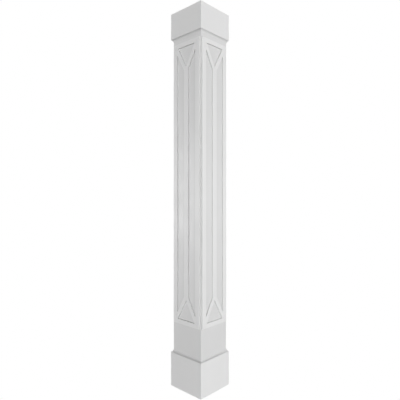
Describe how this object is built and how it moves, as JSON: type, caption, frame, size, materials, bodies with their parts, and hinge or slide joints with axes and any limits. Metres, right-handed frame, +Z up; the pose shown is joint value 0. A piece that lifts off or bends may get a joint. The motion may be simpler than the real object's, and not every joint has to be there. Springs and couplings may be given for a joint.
{
  "type": "fretwork column",
  "caption": "Square hollow porch column with a flat fretwork panel on each face and a board collar with a cove moulding at the top and the foot.",
  "frame": {"origin": "centre of the column's underside, on the floor", "axes": "+Z up along the column, X and Y square to its faces"},
  "size_m": [0.3372, 0.3372, 3.048],
  "materials": {
    "shaft_board": "satin white paint on cellular PVC board",
    "fretwork_board": "satin white paint on routed cellular PVC sheet",
    "collar_board": "satin white paint on cellular PVC board",
    "cove_moulding": "satin white paint on moulded PVC trim"
  },
  "bodies": {
    "root": {"shaft": "shaft_board", "fretwork_panel_front": "fretwork_board", "fretwork_panel_right": "fretwork_board", "fretwork_panel_back": "fretwork_board", "fretwork_panel_left": "fretwork_board", "capital_block": "collar_board", "base_block": "collar_board", "capital_cove": "cove_moulding", "base_cove": "cove_moulding"}
  },
  "joints": []
}
